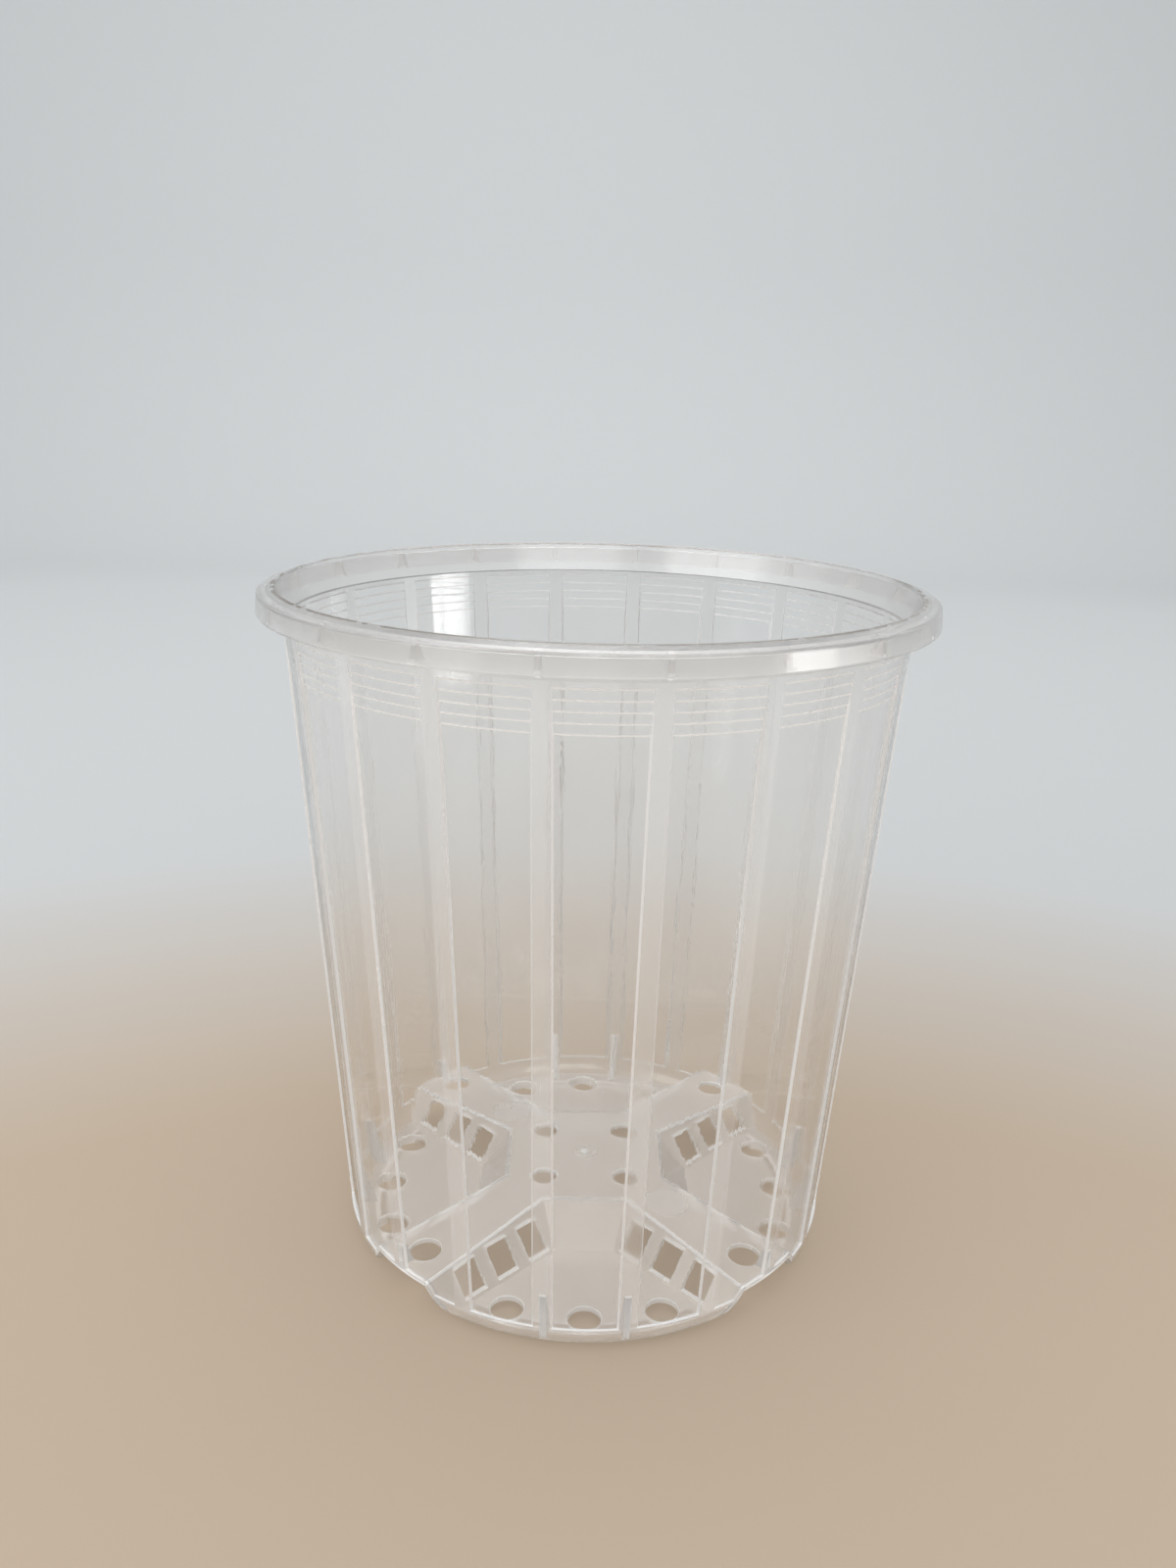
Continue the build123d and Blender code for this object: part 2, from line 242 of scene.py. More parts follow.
def makePanel():
    # One bay's recess, facing +X, with the fine steps under the rim
    bm = newShape()
    low = wall["footRadius"] * (1 - wall["taper"] / slant) + wall["footLip"]
    rows = [(low, wall["panelDepth"])]
    step = wall["panelDepth"] / wall["ringCount"]
    for i in range(wall["ringCount"]):
        z = wall["ringLowest"] + wall["ringPitch"] * i
        rows.append((z - wall["ringSlope"] / 2, wall["panelDepth"] - step * i))
        rows.append((z + wall["ringSlope"] / 2, wall["panelDepth"] - step * (i + 1)))
    last = wall["panelSteps"]

    def panelRow(z, back):
        share = (z - low) / (wall["top"] - low)
        width = wall["bandLow"] + (wall["bandHigh"] - wall["bandLow"]) * share
        spare = wall["draft"] * (wall["panelDepth"] - back) / wall["panelDepth"]
        radius = wallRadius(z) - back
        side = math.pi / wall["bays"] - math.asin((width / 2 + wall["draft"] - spare) / wallRadius(z))
        turns = [side * (2 * j / last - 1) for j in range(last + 1)]
        return [bm.verts.new((radius * math.cos(turn), radius * math.sin(turn), z)) for turn in turns]

    inside = [panelRow(z, depth) for z, depth in rows]
    outside = [panelRow(z, -wall["cutOut"]) for z, _ in rows]
    white = []
    for i in range(len(rows) - 1):
        inLow, inHigh, outLow, outHigh = inside[i], inside[i + 1], outside[i], outside[i + 1]
        for j in range(last):
            ring = bm.faces.new((inLow[j], inLow[j + 1], inHigh[j + 1], inHigh[j]))
            bm.faces.new((outLow[j], outLow[j + 1], outHigh[j + 1], outHigh[j]))
            white += [ring] if i % 2 else []        # every second row is a step, whitened as a painted highlight
        for j in (0, last):
            white.append(bm.faces.new((inLow[j], outLow[j], outHigh[j], inHigh[j])))
    for near, far in ((inside[0], outside[0]), (inside[-1], outside[-1])):
        for j in range(last):
            white.append(bm.faces.new((near[j], near[j + 1], far[j + 1], far[j])))
    # Painted highlight: the steps, the bands' drafted sides and the recess's ends are whitened
    marked(bm, white, "edge")
    return meshObject("panelRecess", bm)


def makeHole(name, radius, distance, height, tilt=0.0):
    # A drain hole with a softened upper edge, cut down from the surface at the given height
    lip = floors["holeLip"]
    part = lip * floors["lipShare"]
    stack = [(-floors["holeDepth"], radius), (-lip, radius), (-part, radius + part),
             (floors["lipOver"], radius + lip), (floors["holeAbove"], radius + lip)]
    rings = []
    for z, r in stack:
        spots = circle(r, floors["holeSides"])
        rings.append([(distance + x, y, height + z - tilt * x) for x, y in spots])
    # Painted highlight: the hole's walls are whitened
    return ringSolid(name, [rings], "edge")


# The raised cross in the base, with its slots and small marks
cross = {
    "top": 12.1,
    "half": 19.5,
    "deck": 1.1,
    "armHalf": 6.6,
    "armFall": 0.075,
    "riserRun": 0.78,
    "riserAcross": 1.268,
    "reach": 80.0,
    "below": 2.0,               # how far the cross and its hollow go below the ground
    "hollowBelow": 3.0,
    "archStart": 58.2,          # where the arms run into the wall
    "ridge": 0.45,              # rounding along the upper edges
    "flat": 0.9,                # how far a deck's normal points up, and a sloping side's
    "steep": 0.2,
    "armHoleRadius": 3.6,
    "armHoleDistance": 51.8,
    "centreHoleRadius": 3.1,
    "centreHoleDistance": 14.5,
    "slotCount": 3,
    "slotStart": 25.2,
    "slotPitch": 9.7,
    "slotLength": 6.3,
    "slotLow": 3.1,
    "slotHigh": 9.3,
    "slotClear": 0.1,           # the slots end this far under the deck
    "slotFrom": 4.0,
    "slotTo": 18.0,
    "pinRadius": 5.2,
    "pinDistance": 28.0,
    "pinDepth": 0.15,
    "pinAbove": 4.0,
    "pinFlare": 0.3,
    "gateRadius": 1.0,
    "gateTopRadius": 0.6,
    "gateShoulder": 0.4,
    "gateHeight": 0.6,
    "gateSink": 0.5,
    "gateSides": 24,
    "gateRing": 2.6,
    "gateRingWidth": 0.6,
    "gateRingHeight": 0.2,
    "markSides": 48,
}

armStart = math.hypot(cross["half"], cross["half"]) - cross["armHalf"]


def armTop(along):
    return cross["top"] - cross["armFall"] * max(0.0, along - armStart)


def riserEdge(z):
    return cross["armHalf"] + (cross["top"] - z) * cross["riserRun"]


def quarterTurn(k, extra=0.0):
    return Matrix.Rotation(k * math.pi / 2 + extra, 3, "Z")


def makeCross(name, inset, deck, bottom, soft=0.0):
    # The raised cross as a solid: a platform, four falling arms and sloping sides
    bm = newShape()
    made = {}

    def vert(p):
        key = tuple(round(x, 3) for x in p)
        if key not in made:
            made[key] = bm.verts.new(p)
        return made[key]

    def face(*points):
        bm.faces.new([vert(p) for p in points])

    def sectorCorner(z, side):
        # Where a platform side meets an arm side, for the sector that faces +X
        x = cross["half"] + (cross["top"] - z) * cross["riserRun"] - inset
        return Vector((x, side * (x - math.sqrt(2) * (riserEdge(z) - inset)), z))

    def armEnd(z, side):
        return Vector((cross["reach"], side * (riserEdge(z) - inset), z))

    topZ = cross["top"] - deck
    endZ = armTop(cross["reach"]) - deck
    upper, lower = [], []
    for k in range(4):
        turn, toArm, after = quarterTurn(k), quarterTurn(k, math.pi / 4), quarterTurn((k + 1) % 4)
        a, b = turn @ sectorCorner(topZ, -1), turn @ sectorCorner(topZ, 1)
        c = after @ sectorCorner(topZ, -1)
        e1, e2 = toArm @ armEnd(endZ, -1), toArm @ armEnd(endZ, 1)
        al, bl = turn @ sectorCorner(bottom, -1), turn @ sectorCorner(bottom, 1)
        cl = after @ sectorCorner(bottom, -1)
        f1, f2 = toArm @ armEnd(bottom, -1), toArm @ armEnd(bottom, 1)
        upper += [vert(a), vert(b)]
        lower += [vert(al), vert(bl)]
        face(b, e1, e2, c)          # arm deck
        face(bl, cl, f2, f1)        # under the arm
        face(al, bl, b, a)          # platform side
        face(bl, f1, e1, b)         # arm sides
        face(f2, cl, c, e2)
        face(f1, f2, e2, e1)        # arm end
    bm.faces.new(upper)
    bm.faces.new(list(reversed(lower)))
    bmesh.ops.recalc_face_normals(bm, faces=bm.faces)
    marked(bm, bm.faces, "base")
    if soft:
        ridges = []
        for edge in bm.edges:
            ups = [f.normal.z for f in edge.link_faces]
            if max(ups) > cross["flat"] > min(ups) > cross["steep"]:      # a deck meets a sloping side
                ridges.append(edge)
        rounds = bmesh.ops.bevel(bm, geom=ridges, offset=soft, segments=2, profile=0.5, affect="EDGES")
        # Painted highlight: the rounded ridges are whitened
        marked(bm, rounds["faces"], "edge")
        middle = cross["half"] + 2 * soft
        inner = [f for f in rounds["faces"] if max(map(abs, f.calc_center_median().xy)) < middle]
        marked(bm, inner, "frostAndSoftHighlight")        # the platform's own edges get a softer painted highlight
    else:
        for k in range(4):
            along = quarterTurn(k, math.pi / 4) @ Vector((1, 0, 0))
            bmesh.ops.bisect_plane(bm, geom=bm.verts[:] + bm.edges[:] + bm.faces[:],
                                   plane_co=along * cross["archStart"], plane_no=along)
        # Painted highlight: where the arms run into the wall their ends are whitened
        ends = [f for f in bm.faces if f.calc_center_median().xy.length > cross["archStart"]]
        marked(bm, ends, "edge")
    return meshObject(name, bm)


def makeSlots():
    # The air slots of both sides of one arm, the arm along +X
    low, near, far = cross["slotLow"], cross["slotFrom"], cross["slotTo"]
    solids = []
    for side in (-1, 1):
        for i in range(cross["slotCount"]):
            start = cross["slotStart"] + cross["slotPitch"] * i
            rings = []
            for x in (start, start + cross["slotLength"]):
                top = min(cross["slotHigh"], armTop(x) - cross["deck"] - cross["slotClear"])
                loop = [(near, low), (far, low), (far, top), (near, top)]
                rings.append([(x, side * y, z) for y, z in loop])
            solids.append(rings)
    # Painted highlight: the slots' walls are whitened
    return ringSolid("airSlots", solids, "edge")


def makePinMark():
    stack = [(-cross["pinDepth"], cross["pinRadius"]),
             (cross["pinAbove"], cross["pinRadius"] + cross["pinFlare"])]
    rings = []
    for z, r in stack:
        spots = [(cross["pinDistance"] + x, y) for x, y in circle(r, cross["markSides"])]
        rings.append([(x, y, armTop(x) + z) for x, y in spots])
    return ringSolid("pinMark", [rings], "frostAndSoftHighlight")


def makeGateMark():
    stack = [(-cross["gateSink"], cross["gateRadius"]), (cross["gateShoulder"], cross["gateRadius"]),
             (cross["gateHeight"], cross["gateTopRadius"])]
    rings = [[(x, y, cross["top"] + z) for x, y in circle(r, cross["gateSides"])] for z, r in stack]
    # Painted highlight: the gate nub is whitened
    return ringSolid("gateMark", [rings], "edge")


def makeGateRing():
    halfWidth = cross["gateRingWidth"] / 2
    near, far = cross["gateRing"] - halfWidth, cross["gateRing"] + halfWidth
    low, high = cross["top"] - cross["gateSink"], cross["top"] + cross["gateRingHeight"]
    ring = lathe("gateRing", [(near, low), (far, low), (far, high), (near, high)], cross["markSides"])
    markedWhere(ring, "frostAndSoftHighlight", lambda p: True)
    return ring


# Gusset ribs at the foot of the bands, inside
ribs = {
    "thick": 1.5,
    "depth": 3.0,
    "topDepth": 1.0,
    "height": 14.6,
    "sink": 0.5,                # how far they reach into the wall and floor
    "round": 0.5,
    "arcSteps": 6,
}


def makeRib():
    inner, rise = wall["footRadius"] - wall["thick"], wall["footRadius"] - floors["top"]
    sink, high = ribs["sink"], ribs["height"]
    toe = footCentre + math.sqrt(inner ** 2 - rise ** 2) - ribs["depth"]
    start = -math.asin((rise + sink) / (inner + sink))
    profile = [(toe, floors["top"] - sink)]
    profile += footArc(inner + sink, start, wallAngle, ribs["arcSteps"])
    profile += [(innerRadius(high) + sink, high)]
    profile += softCorner((innerRadius(high), high), (innerRadius(high) - ribs["topDepth"], high),
                          (toe, floors["top"]), ribs["round"])
    # Painted highlight: the ribs are whitened
    return plateSolid("gussetRib", profile, ribs["thick"], "edge")


# Parts of the node trees
def newTree(name, inputs):
    tree = bpy.data.node_groups.new(name, "GeometryNodeTree")
    tree.interface.new_socket("Geometry", in_out="INPUT", socket_type="NodeSocketGeometry")
    for label, kind in inputs:
        tree.interface.new_socket(label, in_out="INPUT", socket_type="NodeSocket" + kind)
    tree.interface.new_socket("Geometry", in_out="OUTPUT", socket_type="NodeSocketGeometry")
    return tree, tree.nodes.new("NodeGroupInput"), tree.nodes.new("NodeGroupOutput")


def objectShape(tree, source):
    info = tree.nodes.new("GeometryNodeObjectInfo")
    tree.links.new(source, info.inputs["Object"])
    return info.outputs["Geometry"]


def turned(tree, shape, count, step, first):
    # Copies of a shape about the upright axis: count copies, step and first turn in radians
    points = tree.nodes.new("GeometryNodePoints")
    index = tree.nodes.new("GeometryNodeInputIndex")
    angle = tree.nodes.new("ShaderNodeMath")
    angle.operation = "MULTIPLY_ADD"
    rotation = tree.nodes.new("FunctionNodeAxisAngleToRotation")
    rotation.inputs["Axis"].default_value = (0, 0, 1)
    copies = tree.nodes.new("GeometryNodeInstanceOnPoints")
    tree.links.new(count, points.inputs["Count"])
    tree.links.new(index.outputs[0], angle.inputs[0])
    tree.links.new(step, angle.inputs[1])
    tree.links.new(first, angle.inputs[2])
    tree.links.new(angle.outputs[0], rotation.inputs["Angle"])
    tree.links.new(points.outputs[0], copies.inputs["Points"])
    tree.links.new(shape, copies.inputs["Instance"])
    tree.links.new(rotation.outputs[0], copies.inputs["Rotation"])
    real = tree.nodes.new("GeometryNodeRealizeInstances")
    tree.links.new(copies.outputs[0], real.inputs["Geometry"])
    return real.outputs[0]


def joined(tree, how, first, other):
    both = tree.nodes.new("GeometryNodeMeshBoolean")
    both.operation, both.solver = how, "MANIFOLD"
    tree.links.new(first, both.inputs["Mesh 1" if how == "DIFFERENCE" else "Mesh 2"])
    tree.links.new(other, both.inputs["Mesh 2"])
    return both.outputs["Mesh"]


def finishTree(tree, out, shape, material):
    real = tree.nodes.new("GeometryNodeRealizeInstances")
    paint = tree.nodes.new("GeometryNodeSetMaterial")
    tree.links.new(shape, real.inputs["Geometry"])
    tree.links.new(real.outputs[0], paint.inputs["Geometry"])
    tree.links.new(material, paint.inputs["Material"])
    tree.links.new(paint.outputs[0], out.inputs[0])


def runTree(piece, tree, values, sharp, roundFrom, slotMaterials):
    # Sets the inputs by identifier, keeps the result as a plain mesh in metres
    modifier = piece.modifiers.new(tree.name, "NODES")
    modifier.node_group = tree
    for item in tree.interface.items_tree:
        if item.in_out == "INPUT" and item.name in values:
            modifier[item.identifier] = values[item.name]
    graph = bpy.context.evaluated_depsgraph_get()
    mesh = bpy.data.meshes.new_from_object(piece.evaluated_get(graph))
    piece.modifiers.clear()
    piece.data = mesh
    mesh.materials.clear()
    for material in [values["Plastic"]] + slotMaterials:
        mesh.materials.append(material)
    bm = bmesh.new()
    bm.from_mesh(mesh)
    bmesh.ops.remove_doubles(bm, verts=bm.verts, dist=weld)
    bmesh.ops.dissolve_degenerate(bm, edges=bm.edges, dist=thinEdge)
    layer = bm.faces.layers.float["slotMark"]
    for face in bm.faces:
        face.smooth = face.calc_center_median().xy.length > roundFrom
        face.material_index = round(face[layer])
    bm.to_mesh(mesh)
    bm.free()
    mesh.transform(Matrix.Scale(metre, 4))
    mesh.set_sharp_from_angle(angle=math.radians(sharp))
    print(piece.name, len(mesh.polygons), "faces")


def wallNormals(mesh):
    # Exact normals on the wall's cones, so that what is seen through the wall stays in its place
    lean, nearly = wall["taper"] / slant, 0.01
    normals = [Vector(corner.vector) for corner in mesh.corner_normals]
    for face in mesh.polygons:
        facing = Vector((face.center.x, face.center.y, 0)).normalized().dot(face.normal)
        side = math.copysign(1, facing)
        onCone = abs(facing) > 1 - nearly and abs(face.normal.z + side * lean) < nearly
        if face.use_smooth and onCone:
            for corner in face.loop_indices:
                p = mesh.vertices[mesh.loops[corner].vertex_index].co
                outward = Vector((p.x, p.y, 0)).normalized() / slant
                normals[corner] = side * (outward - Vector((0, 0, lean)))
    mesh.normals_split_custom_set(normals)


# Plastic: clear and a little milky, whiter on the bands and in the base; whiter along its edges too, a
# painted highlight of the light that glows along clear edges
plastic = {
    "tint": (1.0, 0.995, 0.985),
    "haze": (0.97, 0.955, 0.94),
    "smooth": 0.0,              # least and most roughness
    "dull": 0.07,
    "through": 0.965,
    "bend": 1.49,
    "waves": 0.025,
    "scratches": 0.02,
    "shade": 0.93,              # light let through to the floor by each surface
}
milkyLook = {
    "haze": (0.95, 0.945, 0.935),
    "smooth": 0.1,
    "dull": 0.25,
    "through": 0.84,
    "waves": 0.05,
    "scratches": 0.04,
}
# Painted highlight: white, mostly unclear plastic along the edges
edgeHighlightLook = {"haze": plastic["tint"], "smooth": 0.2, "dull": 0.35, "through": 0.25}
# Frosted plastic for the marks and webs; on the platform's edges a softer painted highlight
frostAndSoftHighlightLook = {"smooth": 0.25, "dull": 0.4, "through": 0.66}
bandLook = {"smooth": 0.05, "dull": 0.15, "through": 0.82}
baseLook = {
    "tint": (1.0, 0.98, 0.955),
    "haze": (0.97, 0.94, 0.91),
    "smooth": 0.08,
    "dull": 0.22,
    "through": 0.70,
}
# Dust and painted shade on the flange's inner edge: a darker, greyer, rougher plastic
dustAndShadeLook = {
    "tint": (0.60, 0.57, 0.54),
    "haze": (0.28, 0.25, 0.22),
    "smooth": 0.3,
    "dull": 0.6,
    "through": 0.62,
}
grains = {                      # scale, stretch and detail of each noise
    "cloud": (30, (1, 1, 0.5), 5),
    "dull": (55, (1, 1, 0.35), 6),
    "waves": (70, (1, 1, 0.25), 2),
    "scratches": (900, (1, 1, 0.06), 3),
}
grainRange = (0.35, 0.7)
bumpDepth = {"waves": 0.002, "scratches": 0.0005}


def plasticMaterial(name, *changes):
    look = dict(plastic)
    for change in changes:
        look.update(change)
    material = bpy.data.materials.new(name)
    material.use_nodes = True
    tree = material.node_tree
    tree.nodes.clear()
    out = tree.nodes.new("ShaderNodeOutputMaterial")
    shader = tree.nodes.new("ShaderNodeBsdfPrincipled")
    coords = tree.nodes.new("ShaderNodeTexCoord")

    def grainOf(kind):
        scale, stretch, detail = grains[kind]
        place = tree.nodes.new("ShaderNodeMapping")
        place.inputs["Scale"].default_value = stretch
        tree.links.new(coords.outputs["Object"], place.inputs["Vector"])
        grain = tree.nodes.new("ShaderNodeTexNoise")
        grain.inputs["Scale"].default_value = scale
        grain.inputs["Detail"].default_value = detail
        tree.links.new(place.outputs[0], grain.inputs["Vector"])
        return grain.outputs["Fac"]

    def ramp(source, low, high):
        fit = tree.nodes.new("ShaderNodeMapRange")
        sockets = ("From Min", "From Max", "To Min", "To Max")
        for socket, value in zip(sockets, (*grainRange, low, high)):
            fit.inputs[socket].default_value = value
        tree.links.new(source, fit.inputs["Value"])
        return fit.outputs["Result"]

    shader.inputs["IOR"].default_value = look["bend"]
    shader.inputs["Transmission Weight"].default_value = look["through"]
    shader.inputs["Base Color"].default_value = (*look["tint"], 1)
    if look["haze"] != look["tint"]:
        tint = tree.nodes.new("ShaderNodeMix")
        tint.data_type = "RGBA"
        tint.inputs[6].default_value = (*look["tint"], 1)       # the node's two colours
        tint.inputs[7].default_value = (*look["haze"], 1)
        tree.links.new(ramp(grainOf("cloud"), 0.0, 1.0), tint.inputs[0])
        tree.links.new(tint.outputs[2], shader.inputs["Base Color"])
    tree.links.new(ramp(grainOf("dull"), look["smooth"], look["dull"]), shader.inputs["Roughness"])

    normal = None
    for kind in ("waves", "scratches"):
        bump = tree.nodes.new("ShaderNodeBump")
        bump.inputs["Strength"].default_value = look[kind]
        bump.inputs["Distance"].default_value = bumpDepth[kind]
        tree.links.new(grainOf(kind), bump.inputs["Height"])
        if normal:
            tree.links.new(normal, bump.inputs["Normal"])
        normal = bump.outputs[0]
    tree.links.new(normal, shader.inputs["Normal"])

    # Lamps reach the floor through the plastic, a little weaker
    path = tree.nodes.new("ShaderNodeLightPath")
    weaker = tree.nodes.new("ShaderNodeMath")
    weaker.operation = "MULTIPLY"
    weaker.inputs[1].default_value = look["shade"]
    clearShade = tree.nodes.new("ShaderNodeBsdfTransparent")
    both = tree.nodes.new("ShaderNodeMixShader")
    tree.links.new(path.outputs["Is Shadow Ray"], weaker.inputs[0])
    tree.links.new(weaker.outputs[0], both.inputs[0])
    tree.links.new(shader.outputs[0], both.inputs[1])
    tree.links.new(clearShade.outputs[0], both.inputs[2])
    tree.links.new(both.outputs[0], out.inputs["Surface"])
    return material


clearPlastic = plasticMaterial("clearPlastic")
edgeHighlightPlastic = plasticMaterial("edgeHighlightPlastic", edgeHighlightLook)
frostAndSoftHighlightPlastic = plasticMaterial("frostAndSoftHighlightPlastic", frostAndSoftHighlightLook)
bandPlastic = plasticMaterial("bandPlastic", bandLook)
basePlastic = plasticMaterial("basePlastic", baseLook)
milkyPlastic = plasticMaterial("milkyPlastic", milkyLook)
dustAndShadeEdge = plasticMaterial("dustAndShadeEdge", milkyLook, dustAndShadeLook)
print("plastics made")


def makeBody():
    body = makeOutside()
    body.name = "pot_body"
    shapes = {
        "Cavity": makeCavity(),
        "Cross": makeCross("crossOuter", 0.0, 0.0, -cross["below"], cross["ridge"]),
        "Cross Hollow": makeCross("crossHollow", cross["riserAcross"], cross["deck"],
                                  -cross["hollowBelow"]),
        "Panel": makePanel(),
        "Slots": makeSlots(),
        "Floor Hole": makeHole("floorHole", floors["holeRadius"], floors["holeDistance"], floors["top"]),
        "Arm Hole": makeHole("armHole", cross["armHoleRadius"], cross["armHoleDistance"],
                             armTop(cross["armHoleDistance"]), cross["armFall"]),
        "Centre Hole": makeHole("centreHole", cross["centreHoleRadius"], cross["centreHoleDistance"],
                                cross["top"]),
        "Pin Mark": makePinMark(),
        "Rib": makeRib(),
        "Gate": makeGateMark(),
        "Gate Ring": makeGateRing(),
    }
    numbers = {
        "Bays": ("Int", wall["bays"]),
        "Bay Turn": ("Float", math.tau / wall["bays"]),
        "Bay First": ("Float", -math.pi / 2),
        "Arms": ("Int", 4),
        "Arm Turn": ("Float", math.pi / 2),
        "Arm First": ("Float", -math.pi / 4),
        "Sector First": ("Float", 0.0),
        "Holes": ("Int", floors["holesPerSector"]),
        "Hole Turn": ("Float", math.radians(floors["holeStep"])),
        "Hole First": ("Float", -math.radians(floors["holeStep"])),
        "Pins": ("Int", 2),
        "Pin Turn": ("Float", math.pi),
        "Pair": ("Int", 2),
        "Pair First": ("Float", -math.pi / wall["bays"]),
    }
    inputs = [(label, "Object") for label in shapes]
    inputs += [(label, kind) for label, (kind, _) in numbers.items()]
    tree, ins, out = newTree("potBody", inputs + [("Plastic", "Material")])
    pick = ins.outputs
    cutters = {label: objectShape(tree, pick[label]) for label in shapes}

    def overArms(shape):
        return turned(tree, shape, pick["Arms"], pick["Arm Turn"], pick["Arm First"])

    def overSectors(shape):
        return turned(tree, shape, pick["Arms"], pick["Arm Turn"], pick["Sector First"])

    panels = turned(tree, cutters["Panel"], pick["Bays"], pick["Bay Turn"], pick["Bay First"])
    panels = joined(tree, "DIFFERENCE", panels, cutters["Cross"])
    hollow = joined(tree, "DIFFERENCE", cutters["Cavity"], cutters["Cross"])
    three = turned(tree, cutters["Floor Hole"], pick["Holes"], pick["Hole Turn"], pick["Hole First"])
    pins = turned(tree, cutters["Pin Mark"], pick["Pins"], pick["Pin Turn"], pick["Arm First"])
    cuts = [hollow, panels, cutters["Cross Hollow"], overArms(cutters["Slots"]), overSectors(three),
            overArms(cutters["Arm Hole"]), overArms(cutters["Centre Hole"]), pins]
    shell = pick["Geometry"]
    for cut in cuts:
        shell = joined(tree, "DIFFERENCE", shell, cut)
    pair = turned(tree, cutters["Rib"], pick["Pair"], pick["Bay Turn"], pick["Pair First"])
    armRibs = joined(tree, "DIFFERENCE", overArms(cutters["Rib"]), cutters["Cross Hollow"])
    for extra in (overSectors(pair), cutters["Gate"], cutters["Gate Ring"], armRibs):
        shell = joined(tree, "UNION", shell, extra)
    finishTree(tree, out, shell, pick["Plastic"])

    values = dict(shapes)
    values.update({label: value for label, (_, value) in numbers.items()})
    values["Plastic"] = clearPlastic
    slotMaterials = [edgeHighlightPlastic, frostAndSoftHighlightPlastic, bandPlastic, basePlastic]
    runTree(body, tree, values, wall["sharp"], footCentre, slotMaterials)
    wallNormals(body.data)
    for tool in shapes.values():
        bpy.data.objects.remove(tool)
    return body


rim = {
    "height": 159.3,
    "inside": 71.0,
    "outside": 74.7,
    "drop": 1.2,
    "thick": 1.2,
    "edgeRound": 0.6,
    "innerRound": 0.3,
    "underRound": 0.25,
    "skirtRound": 0.4,
    "skirtLength": 3.3,
    "skirtFlare": 0.3,
    "skirtThick": 1.2,
    "collarThick": 1.2,
    "flatHold": 0.05,           # flat shading starts this far from a round
    "webThick": 1.0,
    "webGap": 0.03,
    "webLift": 0.5,             # the webs end this far above the skirt's edge
    "dustShadeWidth": 0.8,
    "dustShadeDepth": 0.3,
    "dustShadeGrain": 0.4,
    "dustShadeFrom": 0.1,            # noise above this gets dust and painted shade, less of it towards the back
    "dustShadeLean": 0.6,
    "sharp": 30,
}


def flangeUnder(radius):
    share = (radius - rim["inside"]) / (rim["outside"] - rim["inside"])
    return rim["height"] - rim["thick"] - rim["drop"] * share


skirtBottom = flangeUnder(rim["outside"]) - rim["skirtLength"]
skirtInside = rim["outside"] - rim["skirtThick"]
collarOutside = rim["inside"] + rim["collarThick"]


def makeRimRing():
    dustShadeEdge = rim["inside"] + rim["dustShadeWidth"]
    corners = [                 # radius, height and rounding
        (innerRadius(wall["top"]), wall["top"], 0),
        (wallRadius(wall["top"]), wall["top"], 0),
        (collarOutside, flangeUnder(collarOutside), rim["underRound"]),
        (skirtInside, flangeUnder(skirtInside), rim["underRound"]),
        (skirtInside + rim["skirtFlare"], skirtBottom, rim["skirtRound"]),
        (rim["outside"] + rim["skirtFlare"], skirtBottom, rim["skirtRound"]),
        (rim["outside"], flangeUnder(rim["outside"]) + rim["thick"], rim["edgeRound"]),
        (dustShadeEdge, flangeUnder(dustShadeEdge) + rim["thick"], 0),
        (rim["inside"], rim["height"], rim["innerRound"]),
    ]
    profile = []
    for i, (r, z, soft) in enumerate(corners):
        before, after = corners[i - 1][:2], corners[(i + 1) % len(corners)][:2]
        if soft:
            profile += softCorner(before, (r, z), after, soft, hold=rim["flatHold"])
        else:
            profile.append((r, z))
    ring = lathe("pot_rim", profile, wall["roundSteps"])

    # Dust and painted shade: a dark speckled line along the flange's inner edge, for dust and for the
    # dark line the edge refracts, fading towards the back
    def isDustAndShade(p):
        least = rim["dustShadeLean"] * p.y / rim["inside"] + rim["dustShadeFrom"]
        onEdge = p.xy.length < dustShadeEdge and p.z > rim["height"] - rim["dustShadeDepth"]
        return onEdge and noise.noise(p * rim["dustShadeGrain"]) > least

    # on the rim the edge slot holds the dust and painted shade
    markedWhere(ring, "edge", isDustAndShade)
    return ring


def makeWeb():
    gap, cut = rim["webGap"], rim["underRound"]
    low = skirtBottom + rim["webLift"]
    climb = (low - wall["top"]) / (flangeUnder(collarOutside) - wall["top"])
    inLow = wallRadius(wall["top"]) + (collarOutside - wallRadius(wall["top"])) * climb + gap
    profile = [
        (inLow, low),
        (skirtInside + rim["skirtFlare"] - gap, low),
        (skirtInside - gap, flangeUnder(skirtInside) - gap - cut),
        (skirtInside - cut, flangeUnder(skirtInside) - gap),
        (collarOutside + cut, flangeUnder(collarOutside) - gap),
        (collarOutside + gap, flangeUnder(collarOutside) - gap - cut),
    ]
    return plateSolid("rimWeb", profile, rim["webThick"], "frostAndSoftHighlight")


